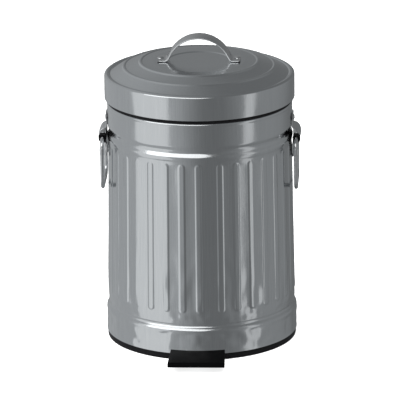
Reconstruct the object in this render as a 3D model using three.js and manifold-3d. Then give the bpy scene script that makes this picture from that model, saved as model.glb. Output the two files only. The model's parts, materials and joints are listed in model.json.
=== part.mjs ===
// A round step-on waste bin of about five litres, in millimetres, +Z up.
//
// The can is a ribbed sheet-steel shell that stands on a black plastic base ring. A step pedal at the front
// turns a lever under the bottom plate, the lever lifts a push rod at the back, and the rod lifts the lid
// about a hinge outside the neck. A wire handle hangs from a strap on each side, and a plastic bucket with a
// wire bail stands inside.
//
// Every size below is measured from the can's axis and from the floor. The front is -Y and the hinge is at +Y.
// The exported group is moved along Y so that its origin is at the floor, in the middle of its outer box.

import * as THREE from "three";
import { mergeVertices } from "three/addons/utils/BufferGeometryUtils.js";
import Module from "manifold-3d";

const wasm = await Module();
wasm.setup();

// ---- Driving dimensions ----------------------------------------------------------------------------------

const GAP = 0.3; // clearance between pieces that touch
const RAD = Math.PI / 180;
const ROUND = 48; // facets round the large turned pieces

// Can shell: outer radius at each level
const SHEET = 0.8;
const NECK_R = 99.8;
const NECK_TOP = 262;
const BODY_TOP = { z: 222, r: 98.6 };
const BODY_FOOT = { z: 48, r: 101.2 };
const BAND_R = 103.0;
const SHELL_FOOT = 7.3;
const UPPER_BEAD = { z: 225.4, r: 100.2 };
const UPPER_GROOVE = { z: 230.9, r: 98.4 };
const LOWER_BEAD = { z: 32.3, r: 103.4 };
const LOWER_GROOVE = { z: 37.8, r: 100.6 };

// Upright ribs pressed outward in the can's side
// The side is two half panels of 17 ribs, with a wider gap where the panels meet.
const PANEL_RIBS = 17;
const PANEL_GAP = 13.4;
const PANEL_SEAM = -81.9;
const RIB_HEIGHT = 0.9;
const RIB_HALF = 3.9;
const RIB_FOOT = 52;
const RIB_TOP = 218;
const RIB_END = 4;

// Base ring and bottom plate
const RING_R = 102.4;
const RING_TOP = 6.9;
const RING_WALL_R = 101.7;
const RING_WALL_T = 2.8;
const RING_WALL_TOP = 26.7;
const PLATE_Z = RING_WALL_TOP + GAP;
const PLATE_T = 1.2;

// Collar under the lid
const COLLAR_R = 99.3;
const COLLAR_BORE = 93.2;
const COLLAR_TOP = 266.2;

// Lid
const LID_R = 102.5;
const LID_FOOT = COLLAR_TOP + GAP;
const LID_RIM = 293;
const HEM_IN = 97.6;
const DISC_R = 33;
const DISC_Z = 306.8;

// Lid handle: a bent flat strap
const STRAP_W = 20;
const STRAP_T = 1.4;
const ARCH_HALF = 33;
const ARCH_TOP = 334;
const ARCH_LEG = 57 * RAD;
const FOOT_END = 46.5;
const FOOT_RIVET = 41.5;

// Hinge
const HINGE = { y: 110, z: 262.5 };
const KNUCKLE_R = 3.6;
const PIN_R = 1.6;
const LID_KNUCKLE_HALF = 9;
const HINGE_HALF = 15.5;
const LID_RIVET_Z = 277;
const NECK_RIVET_Z = 245;

// Push rod
const ROD_R = 2;
const ROD_Y = 95;
const LUG_Z = 268.2;

// Pedal and lever
const PIVOT = { y: -70, z: 12.5 };
const AXLE_R = 2;
const LEVER_HALF = 10;
const LEVER_Z = 7.4;
const LEVER_T = 2;
const LEVER_TOE = -144;
const LEVER_TAIL = 97;
const TREAD_HALF = 30.5;
const TREAD_TOE = -147;
const TREAD_HEEL = -104.3;
const TREAD_TOP = 12;
const TREAD_FOOT = 6.8;

// Side handles
const BAIL_R = 2.2;
const BAIL_X = 104.2;
const BAIL_Z = 224;
const BAIL_HALF = 32;
const BAIL_DROP = 53;
const BAIL_CORNER = 9;
const SADDLE_HALF = 15;
const SADDLE_T = 1.1;
const SADDLE = { z: 226, top: 250, foot: 200, r: 101.2, bulge: 7.9, half: 9 };
const SADDLE_RIVETS = [243, 207];

// Inner bucket
const BUCKET_FOOT = PLATE_Z + PLATE_T + GAP;
const BUCKET_RIM = 255.5;
const BUCKET_RIM_R = 92.2;
const BUCKET_WALL = 1.6;
const HOOP_R = 1.6;
const HOOP_RADIUS = 90.3;
const HOOP_Z = BUCKET_RIM + GAP + HOOP_R;

// ---- Shared tools ----------------------------------------------------------------------------------------

// A closed geometry as a solid that can be joined and cut.
function solid(geometry) {
  const bare = new THREE.BufferGeometry().setAttribute("position", geometry.getAttribute("position"));
  if (geometry.index) bare.setIndex(geometry.index);
  const merged = mergeVertices(bare, 1e-4);
  return new wasm.Manifold(
    new wasm.Mesh({
      numProp: 3,
      vertProperties: new Float32Array(merged.getAttribute("position").array),
      triVerts: new Uint32Array(merged.index.array),
    }),
  );
}

// A solid back as a geometry.
function geometryOf(made) {
  const mesh = made.getMesh();
  const geometry = new THREE.BufferGeometry();
  geometry.setAttribute("position", new THREE.BufferAttribute(mesh.vertProperties, 3));
  geometry.setIndex(new THREE.BufferAttribute(mesh.triVerts, 1));
  geometry.computeVertexNormals();
  return geometry;
}

// The first geometry with the others added.
function join(first, ...others) {
  return geometryOf(others.reduce((made, other) => made.add(solid(other)), solid(first)));
}

// The first geometry with the others taken away.
function cut(first, ...others) {
  return geometryOf(others.reduce((made, other) => made.subtract(solid(other)), solid(first)));
}

// The part of a geometry that is inside another.
function within(first, other) {
  return geometryOf(solid(first).intersect(solid(other)));
}

// A block between two corners.
function block([x0, y0, z0], [x1, y1, z1]) {
  const made = new THREE.BoxGeometry(x1 - x0, y1 - y0, z1 - z0);
  return made.translate((x0 + x1) / 2, (y0 + y1) / 2, (z0 + z1) / 2);
}

// A turned piece about +Z from [radius, height] points, going up the outside and down the inside.
function turned(points, closed = true, facets = ROUND) {
  const profile = points.map(([r, z]) => new THREE.Vector2(r, z));
  if (closed) profile.push(profile[0].clone());
  return new THREE.LatheGeometry(profile, facets).rotateX(Math.PI / 2);
}

// A round bar along X, Y or Z between two places on that axis, through the point [x, y, z].
function bar(axis, from, to, radius, [x, y, z], facets = 16) {
  const made = new THREE.CylinderGeometry(radius, radius, to - from, facets);
  const middle = (from + to) / 2;
  if (axis === "x") return made.rotateZ(Math.PI / 2).translate(middle, y, z);
  if (axis === "y") return made.translate(x, middle, z);
  return made.rotateX(Math.PI / 2).translate(x, y, middle);
}

// A round wire along a curve.
function wire(curve, radius, steps, facets = 5) {
  const section = new THREE.Shape().absarc(0, 0, radius, 0, 2 * Math.PI);
  return new THREE.ExtrudeGeometry(section, {
    extrudePath: curve,
    steps,
    curveSegments: facets,
    bevelEnabled: false,
  });
}

// An outline in the YZ plane, given by [y, z] points, as wide as the stretch of X from one side to the other.
function sideways(points, from, to) {
  const outline = new THREE.Shape(points.map(([y, z]) => new THREE.Vector2(y, z)));
  const made = new THREE.ExtrudeGeometry(outline, { depth: to - from, bevelEnabled: false });
  return made.rotateX(Math.PI / 2).rotateZ(Math.PI / 2).translate(from, 0, 0);
}

// A rivet on the radial line at an angle: a low head on each side of the sheets that it holds.
function radialRivet(angle, z, inner, outer) {
  const shank = bar("x", inner - 0.4, outer + 0.4, 1.6, [0, 0, z], 12);
  const outside = bar("x", outer + GAP, outer + GAP + 1.2, 3.2, [0, 0, z], 12);
  const inside = bar("x", inner - GAP - 0.8, inner - GAP, 2.8, [0, 0, z], 12);
  return join(shank, outside, inside).rotateZ(angle);
}

// The clearance hole for such a rivet.
function radialHole(angle, z) {
  return bar("x", 90, 115, 1.6 + GAP, [0, 0, z], 16).rotateZ(angle);
}

// A rivet along Z through sheets between two levels.
function uprightRivet(x, y, under, over) {
  const shank = bar("z", under - 0.4, over + 0.4, 1.8, [x, y, 0], 12);
  const head = bar("z", over + GAP, over + GAP + 1.1, 3.4, [x, y, 0], 12);
  const tail = bar("z", under - GAP - 0.8, under - GAP, 3, [x, y, 0], 12);
  return join(shank, head, tail);
}

// The clearance hole for such a rivet.
function uprightHole(x, y, under, over) {
  return bar("z", under, over, 1.8 + GAP, [x, y, 0], 12);
}

const steel = () => new THREE.MeshStandardMaterial({ color: 0xb9bcbe, roughness: 0.3, metalness: 1 });
const bright = () => new THREE.MeshStandardMaterial({ color: 0xc8cacc, roughness: 0.18, metalness: 1 });
const black = () => new THREE.MeshStandardMaterial({ color: 0x17181a, roughness: 0.5, metalness: 0 });

const can = new THREE.Group();

// Adds a geometry to the can as its own named mesh.
function add(name, geometry, material) {
  const mesh = new THREE.Mesh(geometry, material);
  mesh.name = name;
  can.add(mesh);
}

// ---- Can shell -------------------------------------------------------------------------------------------

// The outer radius of the can's plain side at a height.
function bodyRadius(z) {
  const share = (z - BODY_FOOT.z) / (BODY_TOP.z - BODY_FOOT.z);
  return THREE.MathUtils.lerp(BODY_FOOT.r, BODY_TOP.r, share);
}

// Rows of the shell's skin, up the outside and down the inside: height, radius and how far the ribs stand out.
function shellRows() {
  const ribbed = (z, height) => [z, bodyRadius(z), height];
  return [
    [SHELL_FOOT, BAND_R + 0.2, 0],
    [LOWER_BEAD.z - 3.5, BAND_R, 0],
    [LOWER_BEAD.z, LOWER_BEAD.r, 0],
    [LOWER_BEAD.z + 3.1, BAND_R, 0],
    [LOWER_GROOVE.z, LOWER_GROOVE.r, 0],
    [BODY_FOOT.z, BODY_FOOT.r, 0],
    ribbed(RIB_FOOT, 0),
    ribbed(RIB_FOOT + RIB_END, RIB_HEIGHT),
    ribbed(RIB_TOP - RIB_END, RIB_HEIGHT),
    ribbed(RIB_TOP, 0),
    [BODY_TOP.z, BODY_TOP.r, 0],
    [UPPER_BEAD.z, UPPER_BEAD.r, 0],
    [UPPER_GROOVE.z, UPPER_GROOVE.r, 0],
    [UPPER_GROOVE.z + 2.5, NECK_R, 0],
    [NECK_TOP, NECK_R, 0],
    [NECK_TOP, NECK_R - SHEET, 0],
    [UPPER_GROOVE.z + 2.5, NECK_R - SHEET, 0],
    [UPPER_GROOVE.z, UPPER_GROOVE.r - SHEET, 0],
    [BODY_TOP.z, BODY_TOP.r - SHEET, 0],
    [BODY_FOOT.z, BODY_FOOT.r - SHEET, 0],
    [LOWER_GROOVE.z, LOWER_GROOVE.r - SHEET, 0],
    [LOWER_GROOVE.z - 4, BAND_R - SHEET, 0],
    [SHELL_FOOT, BAND_R - SHEET, 0],
  ];
}

// The angle of each rib's middle line, counterclockwise from +X.
function ribAngles() {
  const pitch = (180 - PANEL_GAP) / (PANEL_RIBS - 1);
  const angles = [];
  for (const seam of [PANEL_SEAM, PANEL_SEAM + 180]) {
    for (let rib = 0; rib < PANEL_RIBS; rib += 1) {
      angles.push((seam + PANEL_GAP / 2 + rib * pitch) * RAD);
    }
  }
  return angles;
}

// Columns of the skin: the angle of each one, and whether it is on a rib's crest.
function shellColumns() {
  const columns = [];
  for (const middle of ribAngles()) {
    for (const [offset, crest] of [
      [-RIB_HALF, 0],
      [0, 1],
      [RIB_HALF, 0],
    ]) {
      columns.push({ angle: middle + offset / BODY_TOP.r, crest });
    }
  }
  return columns;
}

// The shell's skin as a closed tube of rows and columns.
function shellSkin() {
  const rows = shellRows();
  const columns = shellColumns();
  const positions = [];
  for (const [z, radius, rib] of rows) {
    for (const { angle, crest } of columns) {
      const r = radius + rib * crest;
      positions.push(r * Math.cos(angle), r * Math.sin(angle), z);
    }
  }
  const index = [];
  const width = columns.length;
  for (let row = 0; row < rows.length; row += 1) {
    const above = (row + 1) % rows.length;
    for (let column = 0; column < width; column += 1) {
      const next = (column + 1) % width;
      const corners = [row * width + column, row * width + next, above * width + next, above * width + column];
      index.push(corners[0], corners[1], corners[2], corners[0], corners[2], corners[3]);
    }
  }
  const skin = new THREE.BufferGeometry();
  skin.setAttribute("position", new THREE.Float32BufferAttribute(positions, 3));
  return skin.setIndex(index);
}

const hingeAngles = [90 - 4.6, 90 + 4.6].map((degrees) => degrees * RAD);
const sideAngles = { right: 0, left: Math.PI };

function addShell() {
  const leverNotch = block([-LEVER_HALF - 2.5, -110, 0], [LEVER_HALF + 2.5, -90, 11.4]);
  const holes = hingeAngles.map((angle) => radialHole(angle, NECK_RIVET_Z));
  for (const angle of Object.values(sideAngles)) {
    holes.push(...SADDLE_RIVETS.map((z) => radialHole(angle, z)));
  }
  add("outer_shell", cut(shellSkin(), leverNotch, ...holes), steel());
}

// ---- Base ------------------------------------------------------------------------------------------------

function addBaseRing() {
  const inner = RING_WALL_R - RING_WALL_T;
  const ring = turned([
    [90, 0],
    [RING_R - 0.6, 0],
    [RING_R, 0.8],
    [RING_R, RING_TOP],
    [RING_WALL_R, RING_TOP],
    [RING_WALL_R, RING_WALL_TOP],
    [inner, RING_WALL_TOP],
    [inner, 5],
    [90, 3],
  ]);
  const leverSlot = block([-LEVER_HALF - 2.5, -110, 3.2], [LEVER_HALF + 2.5, -85, 14]);
  add("base_ring", cut(ring, leverSlot), black());
}

const bracketRivets = [-17, 17];

function addBottomPlate() {
  const plate = turned(
    [
      [0, PLATE_Z],
      [RING_WALL_R, PLATE_Z],
      [RING_WALL_R, PLATE_Z + PLATE_T],
      [0, PLATE_Z + PLATE_T],
    ],
    false,
  );
  const rodHole = bar("z", PLATE_Z - 1, PLATE_Z + 3, ROD_R + 1, [0, ROD_Y, 0]);
  const rivetHoles = bracketRivets.map((x) => uprightHole(x, PIVOT.y, PLATE_Z - 1, PLATE_Z + 3));
  add("bottom_plate", cut(plate, rodHole, ...rivetHoles), steel());
}

// ---- Pedal, lever and pivot --------------------------------------------------------------------------------

function addPivotBracket() {
  const top = PLATE_Z - GAP;
  const sole = block([-21, PIVOT.y - 8, top - 1.5], [21, PIVOT.y + 8, top]);
  const ears = [-1, 1].map((side) => {
    const from = side > 0 ? 12 : -13.5;
    return block([from, PIVOT.y - 6, 7.6], [from + 1.5, PIVOT.y + 6, top - 1]);
  });
  const axleHole = bar("x", -20, 20, AXLE_R + GAP, [0, PIVOT.y, PIVOT.z]);
  const rivetHoles = bracketRivets.map((x) => uprightHole(x, PIVOT.y, top - 3, top + 1));
  add("pivot_bracket", cut(join(sole, ...ears), axleHole, ...rivetHoles), steel());
}

function addAxle() {
  add("pedal_axle", bar("x", -16.5, 16.5, AXLE_R, [0, PIVOT.y, PIVOT.z]), bright());
  for (const [name, from] of [
    ["axle_clip_left", -15.2],
    ["axle_clip_right", 14],
  ]) {
    const disc = bar("x", from, from + 1.2, 4.4, [0, PIVOT.y, PIVOT.z]);
    const hole = bar("x", from - 1, from + 2.2, AXLE_R + GAP, [0, PIVOT.y, PIVOT.z]);
    add(name, cut(disc, hole), bright());
  }
}

function addLever() {
  const top = LEVER_Z + LEVER_T;
  const web = block([-LEVER_HALF, LEVER_TOE, LEVER_Z], [LEVER_HALF, LEVER_TAIL, top]);
  const flanges = [-1, 1].map((side) => {
    const from = side > 0 ? LEVER_HALF - 1.6 : -LEVER_HALF;
    return block([from, -88, 4.2], [from + 1.6, 88, LEVER_Z + 0.5]);
  });
  const lugs = [-9, 7].map((from) => {
    return block([from, PIVOT.y - 5.5, top - 0.5], [from + 2, PIVOT.y + 5.5, 17]);
  });
  const axleHole = bar("x", -20, 20, AXLE_R + GAP, [0, PIVOT.y, PIVOT.z]);
  add("pedal_lever", cut(join(web, ...flanges, ...lugs), axleHole), steel());
}

function addTread() {
  const tread = sideways(
    [
      [TREAD_HEEL, TREAD_FOOT],
      [TREAD_TOE + 1.2, TREAD_FOOT],
      [TREAD_TOE, TREAD_FOOT + 1],
      [TREAD_TOE, TREAD_TOP - 2.6],
      [TREAD_TOE + 0.8, TREAD_TOP - 1.2],
      [TREAD_TOE + 2.4, TREAD_TOP - 0.5],
      [TREAD_HEEL, TREAD_TOP],
    ].reverse(),
    -TREAD_HALF,
    TREAD_HALF,
  );
  const pocket = block(
    [-LEVER_HALF - GAP, LEVER_TOE - GAP, 0],
    [LEVER_HALF + GAP, TREAD_HEEL + 5, LEVER_Z + LEVER_T + GAP],
  );
  add("pedal_tread", cut(tread, pocket), black());
}

function addBracketRivets() {
  ["left", "right"].forEach((side, i) => {
    const rivet = uprightRivet(bracketRivets[i], PIVOT.y, PLATE_Z - GAP - 1.5, PLATE_Z + PLATE_T);
    add(`bracket_rivet_${side}`, rivet, bright());
  });
}

// ---- Push rod --------------------------------------------------------------------------------------------

function addPushRod() {
  const foot = LEVER_Z + LEVER_T + GAP;
  add("push_rod", bar("z", foot, LUG_Z - GAP, ROD_R, [0, ROD_Y, 0]), bright());
  for (const [name, z] of [
    ["rod_guide_lower", 96],
    ["rod_guide_upper", 196],
  ]) {
    const wall = bodyRadius(z) - SHEET - 0.9;
    const clip = block([-6, ROD_Y - 3.6, z], [6, wall, z + 7]);
    const hole = bar("z", z - 1, z + 8, ROD_R + GAP, [0, ROD_Y, 0]);
    add(name, cut(clip, hole), black());
  }
}

// ---- Collar ----------------------------------------------------------------------------------------------

function addCollar() {
  const wall = NECK_R - SHEET - GAP;
  const collar = turned([
    [COLLAR_BORE, NECK_TOP + GAP],
    [wall - 2.5, NECK_TOP + GAP - 1],
    [wall - 2.5, 252],
    [wall, 252],
    [wall, NECK_TOP + GAP],
    [COLLAR_R, NECK_TOP + GAP],
    [COLLAR_R, COLLAR_TOP],
    [COLLAR_BORE, COLLAR_TOP],
  ]);
  const rodSlot = block([-ROD_R - 0.7, 90, 250], [ROD_R + 0.7, ROD_Y + ROD_R + 0.6, 270]);
  add("top_collar", cut(collar, rodSlot), black());
}

// ---- Lid -------------------------------------------------------------------------------------------------

const lidAngles = [90 - 3.6, 90 + 3.6].map((degrees) => degrees * RAD);

function addLidShell() {
  const shell = turned(
    [
      [0, DISC_Z - 1.5],
      [50, DISC_Z - 1.5],
      [65, 303.6],
      [79, 298.4],
      [86, 296.8],
      [95, 292.6],
      [100, LID_RIM - 1.4],
      [LID_R - SHEET, LID_RIM - 4],
      [LID_R - SHEET, LID_FOOT + 0.8],
      [HEM_IN, LID_FOOT + 0.8],
      [HEM_IN, LID_FOOT],
      [LID_R - 0.5, LID_FOOT],
      [LID_R, LID_FOOT + 0.5],
      [LID_R, LID_RIM - 4],
      [LID_R - 0.7, LID_RIM - 1.6],
      [LID_R - 2.2, LID_RIM - 0.1],
      [98.6, LID_RIM + 0.4],
      [96, LID_RIM + 0.3],
      [86.5, 298],
      [83, 300],
      [79, 299.4],
      [68, 304.3],
      [65, 305.5],
      [62, 304.9],
      [50, DISC_Z - 0.5],
      [DISC_R, DISC_Z],
      [DISC_R - 1.5, DISC_Z - 0.6],
      [0, DISC_Z - 0.6],
    ],
    false,
  );
  const holes = lidAngles.map((angle) => radialHole(angle, LID_RIVET_Z));
  holes.push(...[-FOOT_RIVET, FOOT_RIVET].map((x) => uprightHole(x, 0, 300, 312)));
  add("lid_shell", cut(shell, ...holes), steel());
}

// The strap's middle line in the XZ plane: foot, straight leg, round top, straight leg, foot.
function strapLine() {
  const foot = DISC_Z + GAP + STRAP_T / 2;
  const rise = ARCH_TOP - STRAP_T / 2 - foot;
  const sine = Math.sin(ARCH_LEG);
  const cosine = Math.cos(ARCH_LEG);
  const radius = (ARCH_HALF * Math.tan(ARCH_LEG) - rise) / (sine * Math.tan(ARCH_LEG) - 1 + cosine);
  const line = [
    [FOOT_END, foot],
    [ARCH_HALF + 1.4, foot],
    [ARCH_HALF - 0.6, foot + 1.6],
  ];
  const steps = 14;
  for (let step = 0; step <= steps; step += 1) {
    const turn = ARCH_LEG * (1 - (2 * step) / steps);
    line.push([radius * Math.sin(turn), foot + rise - radius * (1 - Math.cos(turn))]);
  }
  line.push([-ARCH_HALF + 0.6, foot + 1.6], [-ARCH_HALF - 1.4, foot], [-FOOT_END, foot]);
  return line.map(([x, z]) => new THREE.Vector2(x, z));
}

// A line thickened by the same distance on both sides.
function thickened(line, thickness) {
  const side = (sign) =>
    line.map((point, i) => {
      const before = line[Math.max(i - 1, 0)];
      const after = line[Math.min(i + 1, line.length - 1)];
      const along = after.clone().sub(before).normalize();
      return new THREE.Vector2(-along.y, along.x).multiplyScalar((sign * thickness) / 2).add(point);
    });
  return new THREE.Shape([...side(1), ...side(-1).reverse()]);
}

function addLidHandle() {
  const outline = thickened(strapLine(), STRAP_T);
  const strap = new THREE.ExtrudeGeometry(outline, { depth: STRAP_W, bevelEnabled: false });
  strap.rotateX(Math.PI / 2).translate(0, STRAP_W / 2, 0);
  const holes = [-FOOT_RIVET, FOOT_RIVET].map((x) => uprightHole(x, 0, 300, 312));
  add("lid_handle", cut(strap, ...holes), bright());
  for (const [name, x] of [
    ["lid_handle_rivet_left", -FOOT_RIVET],
    ["lid_handle_rivet_right", FOOT_RIVET],
  ]) {
    add(name, uprightRivet(x, 0, DISC_Z - 1.5, DISC_Z + GAP + STRAP_T), bright());
  }
}

// ---- Hinge -----------------------------------------------------------------------------------------------

// A turned profile kept only where it is within half a width of the YZ plane, at the back of the can.
function backSector(points, half) {
  return within(turned(points), block([-half, 50, 200], [half, 130, 300]));
}

// A knuckle about the hinge pin between two places along X.
function knuckle(from, to) {
  return bar("x", from, to, KNUCKLE_R, [0, HINGE.y, HINGE.z]);
}

function addHinge() {
  const pinHole = bar("x", -30, 30, PIN_R + GAP, [0, HINGE.y, HINGE.z]);

  const inner = LID_R + GAP;
  const leaf = backSector(
    [
      [inner, 268.5],
      [inner + 1.4, 268.5],
      [inner + 1.4, 284],
      [inner, 284],
    ],
    14,
  );
  const web = sideways(
    [
      [103.2, 272],
      [104, 266.8],
      [HINGE.y, 264.4],
      [HINGE.y + 0.6, 266],
      [105.4, 268.6],
      [104.2, 272],
    ],
    -LID_KNUCKLE_HALF,
    LID_KNUCKLE_HALF,
  );
  const lidHoles = lidAngles.map((angle) => radialHole(angle, LID_RIVET_Z));
  const lidLeaf = join(leaf, web, knuckle(-LID_KNUCKLE_HALF, LID_KNUCKLE_HALF));
  add("lid_hinge_leaf", cut(lidLeaf, pinHole, ...lidHoles), bright());

  const neck = NECK_R + GAP;
  const plate = backSector(
    [
      [neck, 239.5],
      [neck + 1.4, 239.5],
      [neck + 1.4, 258],
      [neck, 258],
    ],
    19,
  );
  const arms = [LID_KNUCKLE_HALF + 0.4, -HINGE_HALF].map((from) => {
    const to = from + HINGE_HALF - LID_KNUCKLE_HALF - 0.4;
    const arm = sideways(
      [
        [100.6, 250],
        [HINGE.y, 259.2],
        [HINGE.y, 265.8],
        [106.8, 264],
        [100.6, 257.5],
      ],
      from,
      to,
    );
    return join(arm, knuckle(from, to));
  });
  const neckHoles = hingeAngles.map((angle) => radialHole(angle, NECK_RIVET_Z));
  add("hinge_bracket", cut(join(plate, ...arms), pinHole, ...neckHoles), bright());
  add("hinge_pin", bar("x", -HINGE_HALF - 1.5, HINGE_HALF + 1.5, PIN_R, [0, HINGE.y, HINGE.z]), bright());
}

function addLug() {
  const outer = LID_R - SHEET - GAP;
  const lug = backSector(
    [
      [ROD_Y - 2.5, LUG_Z],
      [outer, LUG_Z],
      [outer, 283],
      [outer - 1.4, 283],
      [outer - 1.4, LUG_Z + 1.5],
      [ROD_Y - 2.5, LUG_Z + 1.5],
    ],
    10,
  );
  add("lid_lug", cut(lug, ...lidAngles.map((angle) => radialHole(angle, LID_RIVET_Z))), steel());
}

function addHingeRivets() {
  ["right", "left"].forEach((side, i) => {
    const lug = LID_R - SHEET - GAP - 1.4;
    add(`lid_hinge_rivet_${side}`, radialRivet(lidAngles[i], LID_RIVET_Z, lug, LID_R + GAP + 1.4), bright());
    const neck = radialRivet(hingeAngles[i], NECK_RIVET_Z, NECK_R - SHEET, NECK_R + GAP + 1.4);
    add(`neck_hinge_rivet_${side}`, neck, bright());
  });
}

// ---- Side handles ----------------------------------------------------------------------------------------

// Points of the saddle's bulge from its lower end to its upper end, with the sheet's inner or outer size.
function bulgeArc(radius, reach, half) {
  const steps = 10;
  const points = [];
  for (let step = 0; step <= steps; step += 1) {
    const turn = (-90 + (180 * step) / steps) * RAD;
    points.push([radius + reach * Math.cos(turn), SADDLE.z + half * Math.sin(turn)]);
  }
  return points;
}

// The saddle: a sheet strap riveted to the can above and below a round bulge that holds the wire.
function saddle() {
  const { r, bulge, half, top, foot } = SADDLE;
  const outside = [[r + 0.2, foot], ...bulgeArc(r, bulge, half), [r, top]];
  const inside = [[r - SADDLE_T + 0.2, foot], ...bulgeArc(r - SADDLE_T, bulge, half - SADDLE_T), [r - SADDLE_T, top]];
  const ring = turned([...outside, ...inside.reverse()], true, 120);
  return within(ring, block([90, -SADDLE_HALF, 190], [120, SADDLE_HALF, 260]));
}

// The plastic filler inside the bulge, bored for the wire.
function insert() {
  const { r, bulge, half } = SADDLE;
  const back = UPPER_BEAD.r + GAP;
  const reach = r + bulge - SADDLE_T - GAP - back;
  const profile = bulgeArc(back, reach, half - SADDLE_T - GAP);
  const ring = turned(profile, true, 120);
  const piece = within(ring, block([90, -SADDLE_HALF - 2.5, 190], [120, SADDLE_HALF + 2.5, 260]));
  return cut(piece, bar("y", -30, 30, BAIL_R + GAP, [BAIL_X, 0, BAIL_Z]));
}

// The wire handle: a rectangle with round corners, its top bar through the saddle.
function bail() {
  const corner = (y, z, from) => {
    const points = [];
    const steps = 5;
    for (let step = 0; step <= steps; step += 1) {
      const turn = (from + (90 * step) / steps) * RAD;
      const along = y + BAIL_CORNER * Math.cos(turn);
      points.push(new THREE.Vector3(BAIL_X, along, z + BAIL_CORNER * Math.sin(turn)));
    }
    return points;
  };
  const low = BAIL_Z - BAIL_DROP + BAIL_CORNER;
  const side = BAIL_HALF - BAIL_CORNER;
  const high = BAIL_Z - BAIL_CORNER;
  const path = new THREE.CurvePath();
  const points = [
    new THREE.Vector3(BAIL_X, -side + 3, BAIL_Z),
    ...corner(-side, high, 90),
    ...corner(-side, low, 180),
    ...corner(side, low, 270),
    ...corner(side, high, 0),
    new THREE.Vector3(BAIL_X, side - 3, BAIL_Z),
  ];
  for (let i = 0; i + 1 < points.length; i += 1) {
    path.add(new THREE.LineCurve3(points[i], points[i + 1]));
  }
  const loop = wire(path, BAIL_R, 36);
  return join(loop, bar("y", -side + 1, side - 1, BAIL_R * 0.97, [BAIL_X, 0, BAIL_Z]));
}

function addSideHandles() {
  for (const [side, angle] of Object.entries(sideAngles)) {
    const holes = SADDLE_RIVETS.map((z) => radialHole(0, z));
    add(`${side}_handle_saddle`, cut(saddle(), ...holes).rotateZ(angle), bright());
    add(`${side}_handle_insert`, insert().rotateZ(angle), black());
    add(`${side}_handle_bail`, bail().rotateZ(angle), bright());
    const [upper, lower] = SADDLE_RIVETS;
    const upperRivet = radialRivet(angle, upper, NECK_R - SHEET, SADDLE.r);
    const lowerRivet = radialRivet(angle, lower, bodyRadius(lower) - SHEET, SADDLE.r + 0.2);
    add(`${side}_saddle_rivet_upper`, upperRivet, bright());
    add(`${side}_saddle_rivet_lower`, lowerRivet, bright());
  }
}

// ---- Inner bucket ----------------------------------------------------------------------------------------

function addBucket() {
  const floor = BUCKET_FOOT + 2.5;
  const inner = BUCKET_RIM_R - 3.5;
  const bucket = turned(
    [
      [0, floor],
      [80, floor],
      [80, BUCKET_FOOT],
      [84, BUCKET_FOOT],
      [inner + BUCKET_WALL, BUCKET_RIM - 4.5],
      [BUCKET_RIM_R, BUCKET_RIM - 4.5],
      [BUCKET_RIM_R, BUCKET_RIM],
      [inner, BUCKET_RIM],
      [84 - BUCKET_WALL, floor + BUCKET_WALL],
      [0, floor + BUCKET_WALL],
    ],
    false,
  );
  const ears = [-1, 1].flatMap((side) => {
    const place = (from, to) => (side > 0 ? [from, to] : [-to, -from]);
    const [x0, x1] = place(inner - 2.4, inner + 0.8);
    const [x2, x3] = place(inner - 2.4, inner - GAP);
    return [block([x0, -6, 244], [x1, 6, BUCKET_RIM - 0.5]), block([x2, -6, 250], [x3, 6, HOOP_Z + 4.5])];
  });
  const bore = bar("x", -HOOP_RADIUS, HOOP_RADIUS, HOOP_R + GAP, [0, 0, HOOP_Z]);
  const boreStop = block([-80, -5, 240], [80, 5, 270]);
  add("inner_bucket", cut(join(bucket, ...ears), cut(bore, boreStop)), black());
}

function addBucketHoop() {
  const points = [];
  const steps = 36;
  for (let step = 0; step <= steps; step += 1) {
    const turn = -Math.PI + (Math.PI * step) / steps;
    points.push(new THREE.Vector3(HOOP_RADIUS * Math.cos(turn), HOOP_RADIUS * Math.sin(turn), HOOP_Z));
  }
  const hoop = wire(new THREE.CatmullRomCurve3(points), HOOP_R, 32);
  const pins = [
    bar("x", -HOOP_RADIUS - 1, -84.6, HOOP_R * 0.97, [0, 0, HOOP_Z], 10),
    bar("x", 84.6, HOOP_RADIUS + 1, HOOP_R * 0.97, [0, 0, HOOP_Z], 10),
  ];
  add("bucket_hoop", join(hoop, ...pins), bright());
}

// ---- The whole bin ---------------------------------------------------------------------------------------

addShell();
addBaseRing();
addBottomPlate();
addPivotBracket();
addBracketRivets();
addAxle();
addLever();
addTread();
addPushRod();
addCollar();
addLidShell();
addLidHandle();
addHinge();
addLug();
addHingeRivets();
addSideHandles();
addBucket();
addBucketHoop();

// The pedal's toe and the hinge's back are equally far from the origin.
can.position.y = -(TREAD_TOE + HINGE.y + KNUCKLE_R) / 2;

const bin = new THREE.Group();
bin.add(can);

export default bin;
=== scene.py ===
# Looks of a round ribbed steel step-on bin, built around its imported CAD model.
# Sizes are in millimetres, measured from the can's axis and the floor, and turned into metres by place().
import json
import math

import bpy
import numpy as np
from mathutils import Matrix, Vector, noise


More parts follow.
